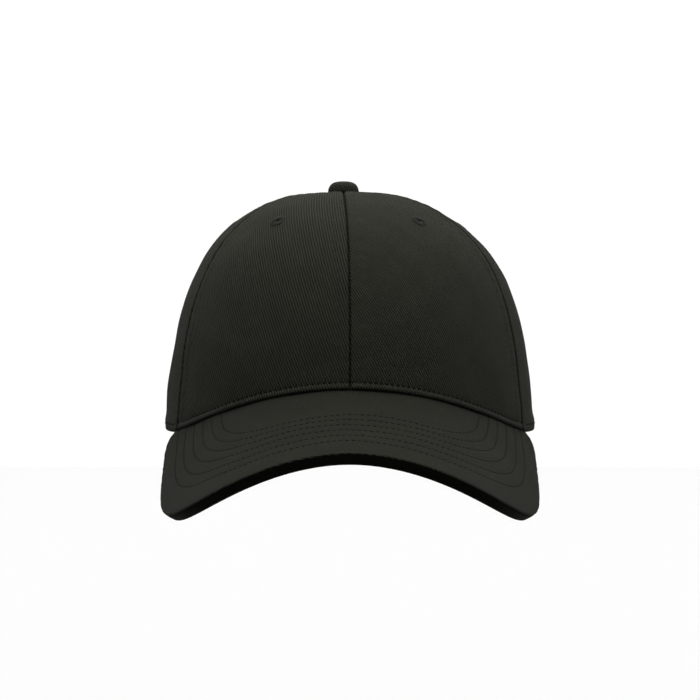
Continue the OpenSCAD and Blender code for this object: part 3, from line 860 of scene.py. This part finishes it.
def seam_tape(name, seam_az, first_gap, top_r, rows=110):
    """A bound tape over a seam inside the crown. Returns the stitch rows near its two edges."""
    depth = TAPE_D_FRONT if "front" in name else TAPE_D_REAR
    cols = TAPE_W / 2 * both_ways([0, 0.25, 0.5, 0.72, 0.86, 0.94, 0.985, 1])[:, None]
    rise, gap, _ = meridians(np.array([seam_az]), top_r,
                             lambda total: np.linspace(first_gap, total[0], rows)[None])
    radius = np.maximum(from_axis(crown_point(np.full(rows, seam_az), rise[0])), top_r)
    az = seam_az + cols / radius
    base, normal = crown_at(az, np.repeat(rise, len(cols), 0))
    height = unevenness(base, np.repeat(gap, len(cols), 0)) - depth
    puff = 0.22 * (1 - (cols / (TAPE_W / 2)) ** 6) - 0.16 * bell(np.abs(cols), TAPE_ROW, 0.6)
    puff = puff + 0.08 * np.sin(gap * FULL_TURN / 7 + np.sign(cols))
    sides = lifted(base, normal, height, height - TAPE_T + 0.2 - puff)
    cloth_piece(name, sides, joined(cols, gap), ("tape", "seam_tape"),
                (TAPE_W, gap[0, -1] - first_gap + 1), seen=0)
    rows = []
    for side in (-1, 1):
        p, n = crown_at(seam_az + side * TAPE_ROW / radius, rise[0])
        rows.append((p + (unevenness(p, gap[0]) - depth - TAPE_T + 0.12)[:, None] * n, -n))
    return rows


TAPES = {"front": (FRONT, 2.5, 9), "front_left": (-SEAM_FRONT, 5.5, 15),
         "front_right": (pi + SEAM_FRONT, 5.5, 15), "rear": (BACK, 9.5, 9),
         "rear_left": (SEAM_REAR, 1.5, 15), "rear_right": (pi - SEAM_REAR, 1.5, 15)}
tape_rows = []
for place, seam in TAPES.items():
    tape_rows += seam_tape(f"seam_tape_{place}", *seam)
stitches("tape_stitches", tape_rows, "thread", "seam_tape", pitch=3.2, length=2.3, radius=0.18)


# ---- sweatband
def band_depth(az):
    t = smooth((turn_from(az, BACK) - radians(62)) / radians(18))
    return BAND_D_FRONT + (BAND_D_POCKET - BAND_D_FRONT) * (1 - t)


BAND_END = ARCH_HALF + radians(1.5)
BAND_AZ = np.linspace(BACK + BAND_END, BACK + FULL_TURN - BAND_END, 420)
BAND_RUN = np.concatenate([[0], np.cumsum(plan_r((BAND_AZ[1:] + BAND_AZ[:-1]) / 2) * np.diff(BAND_AZ))])
BAND_HEM = layer_point(BAND_AZ, hem_rise(BAND_AZ, band_depth(BAND_AZ)), band_depth(BAND_AZ))[:, 2]
BAND_FOOT = BAND_HEM + (0.6 - (BOARD_T + 2 * COVER_T) * on_visor(BAND_AZ))


def band_surface(depth, height):
    """Points at a depth behind the band's outer face and a height over its foot."""
    z = BAND_FOOT[:, None] + height
    az = np.broadcast_to(BAND_AZ[:, None], z.shape)
    return layer_point(az, rise_at(az, z), band_depth(az) + depth)


def sweatband():
    steps = np.array([0, 0.15, 0.5, 1.0, 1.7, 2.5])
    h = np.concatenate([steps, np.linspace(3.5, BAND_W - 3.5, 30), BAND_W - steps[::-1]])[None]
    from_edge = np.minimum(h, BAND_W - h)
    run = BAND_RUN[:, None]
    place = joined(run, h, 0)
    row_at = 2.6
    near_rows = [bell(h, row_at, w) + bell(h, BAND_W - row_at, w) for w in (0.6, 4)]
    quilt = 0.28 * np.sin(pi * np.clip((h - 3) / (BAND_W - 6), 0, 1)) ** 0.7
    ripple = 0.14 * np.sin(FULL_TURN * run / 7.5 + 2 * soft_noise(place, 60, 31, 6))
    swell = quilt - 0.22 * near_rows[0] + ripple * near_rows[1] + 0.12 * soft_noise(place, 24, 33)
    sewn_d = BAND_CORE_T + BAND_FACE_T + 0.05
    face_d = sewn_d + swell - 0.35 * edge_fall(from_edge, 0.6)
    wrap = smooth((1.1 - from_edge) / 0.5)
    behind = np.minimum(BAND_CORE_T + 0.05 + 0.6 * swell, face_d - 0.12)
    sides = band_surface(behind * (1 - wrap) + 0.02 * wrap, h), band_surface(face_d, h)
    uv = joined(run, h)
    cloth_piece("sweatband_facing", sides, uv, ("facing", "sweatband_facing"),
                (BAND_RUN[-1], BAND_W + 3))
    core_h = np.clip(h, 1.2, BAND_W - 1.2)
    round_in = 0.4 * edge_fall(from_edge, 2.5)
    near = band_surface(0.02 + round_in, core_h)
    far = band_surface(BAND_CORE_T - round_in + 0.5 * np.minimum(swell, 0.5), core_h)
    pad = closed_sheet("sweatband_padding", near, far, uv)
    finish_piece(pad, "padding", "sweatband_padding", replaced=["sweatband_core"])
    rows = []
    for height in (row_at, BAND_W - row_at):
        p = band_surface(sewn_d - 0.1, height)[:, 0]
        rows.append((p, unit(band_surface(sewn_d + 1, height)[:, 0] - p)))
    stitches("sweatband_stitches", rows, "thread", "sweatband_facing", pitch=3.2, length=2.3)


sweatband()


# ---- binding of the rear opening
def opening_binding(turns=150):
    """Cloth folded over the edge of the rear opening and sewn through."""
    a = np.linspace(0, pi, turns)
    az, z = BACK + ARCH_HALF * np.cos(a), np.maximum(ARCH_H * np.sin(a), 0)
    edge, normal = crown_at(az, rise_at(az, z))
    away = unit(np.cross(np.gradient(edge, axis=0), normal))
    run = lengths_along(edge)
    middle = PANEL_T / 2
    half = middle + BINDING_FOLD + BINDING_WALL
    bend = np.linspace(-pi / 2, pi / 2, 13)
    fold = [(-half * cos(b) * 0.9, middle + half * sin(b)) for b in bend]
    row_at = 4.4
    legs = [(5.8, half), (5.2, half), (row_at, half - 0.14), (3.4, half), (2.4, half), (1.2, half)]
    skin = [(x, middle - d) for x, d in legs] + fold + [(x, middle + d) for x, d in legs[::-1]]

    def lining_point(x, d):
        side = 1 if d > middle else -1
        return (max(x, -0.3) + (0.0 if x > 0 else 0.02),
                middle + (half - 0.32) * side * min(1, abs(d - middle) / middle))

    def swept(section):
        s = np.array(section)
        lift = unevenness(edge, np.full(turns, 3.0))[:, None, None]
        return edge[:, None] + s[:, :1] * away[:, None] - (s[:, 1:] - lift) * normal[:, None]
    lengths = lengths_along(np.array(skin))
    ends = np.minimum(lengths, lengths[-1] - lengths)
    # Painted shade: the binding is darkened at the ends of its legs, where they meet the crown, and a
    # little beside them.
    crease = np.repeat((0.9 * bell(ends, 0, 0.45) + 0.35 * bell(ends, 1.4, 0.5))[None], turns, 0)
    sides = swept([lining_point(x, d) for x, d in skin]), swept(skin)
    cloth_piece("opening_binding", sides, joined(lengths, run[:, None]),
                STRAP_CLOTH, (lengths[-1] + 1, run[-1] + 2), crease=crease)
    rows = [(swept([(row_at, middle + side * half)])[:, 0], -side * normal) for side in (-1, 1)]
    stitches("binding_stitches", rows, "thread", pitch=2.8, length=2.1)


opening_binding()


# ---- eyelets and button
def at_frame(origin, normal, points):
    """Moves points whose third axis is the normal, and whose second looks up the crown."""
    up = unit(np.array([0, 0, 1.0]) - normal[2] * normal)
    side = np.cross(up, normal)
    return origin + points @ np.stack([side, up, normal])


def eyelet(name, az, inner_depth):
    """A stitched eyelet: a ring of thread wraps over the edge of the hole."""
    centre, normal = eyelet_centre(az)
    centre = centre + unevenness(centre[None], np.array([60.0]))[0] * normal
    around = np.linspace(0, FULL_TURN, 337)[:-1]
    wraps = 42
    profile = [(1.5, -inner_depth - 0.2), (2.6, -inner_depth - 0.45), (1.6, -inner_depth - 0.7),
               (EYELET_BORE + 0.25, -inner_depth - 0.4), (EYELET_BORE, -0.6),
               (EYELET_BORE + 0.15, 0.15), (EYELET_BORE + 0.7, 0.52), (1.9, 0.66), (2.6, 0.62),
               (3.2, 0.48), (3.7, 0.2), (3.95, -0.15), (3.7, -0.35), (2.6, -0.3), (1.6, -0.3)]
    profile.append(profile[0])
    threads = np.abs(np.sin(wraps * around / 2 + 0.35 * sin(7 * az))) - 0.5
    wander = 0.10 * np.sin(5 * around + az) + 0.06 * np.sin(11 * around)
    rings = []
    for k, (r, z) in enumerate(profile):
        r = r + (wander if 9 <= k <= 12 else 0)
        z = z + (0.13 if 5 <= k <= 11 else 0) * threads
        rings.append(joined(r * np.cos(around), r * np.sin(around) * 0.98, z))
    points = at_frame(centre, normal, np.array(rings))
    uv = joined(around * 3, np.arange(len(profile))[:, None] * 0.7)
    ring = closed_tube(f"{name}_threads", points[::-1], uv, caps=False)
    finish_piece(ring, "thread", "eyelet_thread", replaced=[name])


for place, degrees in EYELETS.items():
    inner_depth = STIFF_D + STIFF_T if place.startswith("front") else PANEL_T
    eyelet(f"eyelet_{place}", radians(degrees), inner_depth)


def button():
    """The covered button: cloth drawn over a flat dome and gathered under its rim."""
    around = np.linspace(0, FULL_TURN, 145)[:-1]
    r = BUTTON_R * np.sin(np.linspace(0.001, 1, 26) * pi / 2) ** 0.8
    z = BUTTON_H * np.maximum(1 - (r / BUTTON_R) ** 3.2, 0) ** (1 / 2.2)
    r = np.concatenate([r, [7.0, 6.7, 6.2, 5.6]])[:, None]
    z = np.concatenate([z, [-0.35, -0.5, -0.45, -0.3]])[:, None]
    tuck = smooth((r - 5.4) / 1.8) * np.where(z < 1.6, 1, np.clip(1 - (z - 1.6) / 1.8, 0, 1))
    gathers = 0.10 * tuck * np.sin(19 * around + 0.8 * np.sin(3 * around))
    drawn_r = r - 0.02 + gathers - 0.1 * tuck
    points = joined(drawn_r * np.cos(around) - CROWN_LEAN, drawn_r * np.sin(around), z + CROWN_H + 0.1)
    flat_r = lengths_along(joined(r[:, 0], z[:, 0]))[:, None]
    uv = joined(flat_r * np.cos(around), flat_r * np.sin(around))
    cover = closed_tube("button_cover_cloth", points, uv)
    finish_piece(cover, "crown", "crown_twill", replaced=["button_cover"])


button()


# ---- strap and buckle
def strap_point(angle, depth, height):
    """A point of the strap's leaning circle: angle from +Y towards +X."""
    r = STRAP_CIRCLE - depth - height * tan(STRAP_LEAN)
    return joined(r * np.sin(angle), STRAP_CY + r * np.cos(angle), STRAP_MID + height)


def plump_section(across, power, least, dip):
    """Thickness over a sewn strip, from its middle line to its edges, with a dip at each row."""
    across = np.abs(across)
    return np.sqrt(np.clip(1 - across ** power, least, 1)) - dip * bell(across, 0.78, 0.06)


def strap():
    """Two cloths sewn together along both edges, with a rounded tongue."""
    angle = np.linspace(STRAP_START, STRAP_END, 260)[:, None]
    tongue = (STRAP_END - angle) * STRAP_CIRCLE
    half = STRAP_W / 2 * np.where(tongue < 9, np.sqrt(np.clip(1 - (1 - tongue / 9) ** 2.6, 0.05, 1)), 1)
    across = both_ways([0, 0.3, 0.6, 0.78, 0.88, 0.95, 0.985, 1])
    h = half * across
    thick = STRAP_T / 2 * plump_section(across, 10, 0.02, 0.12)
    run = (angle - STRAP_START) * STRAP_CIRCLE

    def middle(distance):
        return STRAP_D + STRAP_T / 2 + 0.05 * np.sin(distance * FULL_TURN / 31)
    sides = [strap_point(angle, middle(run) + side * thick, h) for side in (1, -1)]
    cloth_piece("strap", sides, joined(run, h), STRAP_CLOTH,
                (STRAP_W + 2, run[-1, 0] + 2), body="strap")
    span = angle[(angle > STRAP_START + 0.03) & (angle < STRAP_END - 0.1)]
    depth = middle((span - STRAP_START) * STRAP_CIRCLE)
    rows = []
    for height in (-7.8, 7.8):
        for side in (-1, 1):
            d = depth + side * (STRAP_T / 2 - 0.17)
            p = strap_point(span, d, height)
            rows.append((p, unit(strap_point(span, d + side, height) - p)))
    stitches("strap_stitches", rows, "dark_thread", body="strap",
             pitch=2.8, length=2.1, radius=0.15, lift=0.02)


strap()


def buckle_point(run, depth, height):
    """A point of the buckle's own leaning frame: run in millimetres on from its bar."""
    turn = BAR_AT - BUCKLE_AT + run / (STRAP_CIRCLE - 2.5)
    r = STRAP_CIRCLE - depth
    x, y = r * np.sin(turn), r * np.cos(turn) - STRAP_CIRCLE
    c, s = cos(STRAP_LEAN), sin(STRAP_LEAN)
    y, z = y * c - height * s + STRAP_CIRCLE, y * s + height * c
    c, s = cos(BUCKLE_AT), sin(BUCKLE_AT)
    return joined(x * c + y * s, STRAP_CY - x * s + y * c, STRAP_MID + z)


def buckle_tab():
    """A strip of cloth folded round the buckle's bar, sewn flat on itself and into the crown."""
    ply, half, reach, snug = TAB_T / 2, 9.8, 31.0, 7.2
    middle = TAB_D + ply
    legs = np.concatenate([[reach, reach - 0.4], np.linspace(reach - 1.5, snug, 40)])
    slope = np.linspace(snug, 1.2, 9)[1:]
    bend = np.linspace(0.1, pi - 0.1, 15)

    def path(bar_r, leg):
        tip = np.where(legs > reach - 0.2, 0.6, 1.0) * leg
        ease = smooth((snug - slope) / (snug - 1.2))
        there = [(x, middle - t) for x, t in zip(legs, tip)]
        there += [(x, (middle - leg) * (1 - e) + (BAR_D - bar_r) * e) for x, e in zip(slope, ease)]
        loop = [(-bar_r * sin(b), BAR_D - bar_r * cos(b)) for b in bend]
        back = [(x, (BAR_D + bar_r) * e + (middle + leg) * (1 - e)) for x, e in zip(slope, ease)][::-1]
        return np.array(there + loop + back + [(x, middle + t) for x, t in zip(legs, tip)][::-1])
    skin, lining = path(1.6, ply), path(0.98, 0.05)
    across = both_ways([0, 0.5, 0.78, 0.88, 0.95, 0.985, 1])
    plump = plump_section(across, 12, 0.03, 0.14)[None, :, None]
    h = half * across
    outer = lining[:, None] + (skin - lining)[:, None] * plump
    run = lengths_along(skin)
    sides = [buckle_point(p[..., 0], p[..., 1], h) for p in (lining[:, None], outer)]
    cloth_piece("buckle_tab", sides, joined(run[:, None], h), STRAP_CLOTH,
                (2 * half + 2, run[-1] + 2))
    rows = []
    long, wide = np.linspace(8.6, reach - 3, 60), np.linspace(-7.4, 7.4, 30)
    lines = [(long, side * 7.6) for side in (-1, 1)]
    lines += [(where, wide) for where in (8.6, 10.8, reach - 3)]
    for along, height in lines:
        for side in (-1, 1):
            p = buckle_point(along, middle + side * (ply - 0.2), height)
            rows.append((p, unit(buckle_point(along, middle + side * 2, height) - p)))
    stitches("buckle_tab_stitches", rows, "dark_thread",
             pitch=2.7, length=2.0, radius=0.17, lift=0.02)


def polished(node, body):
    """A metal CAD solid with its edges broken."""
    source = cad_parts[node]
    copy = new_object(f"{node}_part", source.data.copy())
    copy.matrix_world = source.matrix_world.copy()
    bevel = copy.modifiers.new("edges", "BEVEL")
    bevel.width = EDGE_BREAK * MM
    bevel.segments = 3
    bevel.limit_method = "ANGLE"
    bevel.angle_limit = radians(35)
    finish_piece(copy, "brass", "buckle_metal", body, replaced=[node])


buckle_tab()
for node, body in (("buckle_frame", "crown"), ("buckle_pin", "crown"), ("buckle_lever", "lever")):
    polished(node, body)
for node, material in (("visor_board", "under"), ("button_shell", "brass"),
                       ("button_rivet", "brass"), ("button_backing", "brass")):
    dress(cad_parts[node].data, material)


# ---- stage, light and camera
def stage():
    bpy.ops.mesh.primitive_plane_add(size=30, location=(0, 0, -0.6))
    floor = bpy.context.object
    floor.name = "floor"
    floor_material, _, floor_bsdf = shader("floor_paper", (0.9, 0.9, 0.9), 0.9, specular=0.1)
    put(floor_bsdf, {"Emission Color": (1, 1, 1, 1), "Emission Strength": 0.16})
    floor.data.materials.append(floor_material)
    floor.visible_diffuse = False
    bpy.ops.mesh.primitive_uv_sphere_add(segments=48, ring_count=24, radius=14)
    dome = bpy.context.object
    dome.name = "backdrop"
    glow = bpy.data.materials.new("backdrop_glow")
    glow.use_nodes = True
    glow.node_tree.nodes.clear()
    emission = add(glow.node_tree, "ShaderNodeEmission", (1, 1, 1, 1), 1.02)
    add(glow.node_tree, "ShaderNodeOutputMaterial", emission.outputs[0])
    dome.data.materials.append(glow)
    dome.visible_diffuse = False
    dome.visible_shadow = False


def sun(name, strength, angle, direction):
    """A soft light from far away: direction points from the cap to the light."""
    lamp = bpy.data.lights.new(name, "SUN")
    lamp.energy = strength
    lamp.angle = radians(angle)
    new_object(name, lamp).rotation_euler = Vector(direction).to_track_quat("Z", "Y").to_euler()


def light_and_camera():
    scene = bpy.context.scene
    scene.view_settings.view_transform = "Standard"
    world = bpy.data.worlds.new("studio")
    world.use_nodes = True
    put(world.node_tree.nodes["Background"], {"Color": (1, 1, 1, 1), "Strength": 0.02})
    scene.world = world
    sun("overhead", 2.7, 90, (0.06, -0.02, 1))
    sun("front_fill", 0.10, 60, (0.2, -1, 0.4))
    lens = bpy.data.cameras.new("camera")
    lens.sensor_width = 36
    lens.lens = 143.4
    camera = new_object("camera", lens)
    camera.location = (0, -1.360, 0.039)
    camera.rotation_euler = (pi / 2, 0, 0)
    scene.camera = camera


stage()
light_and_camera()
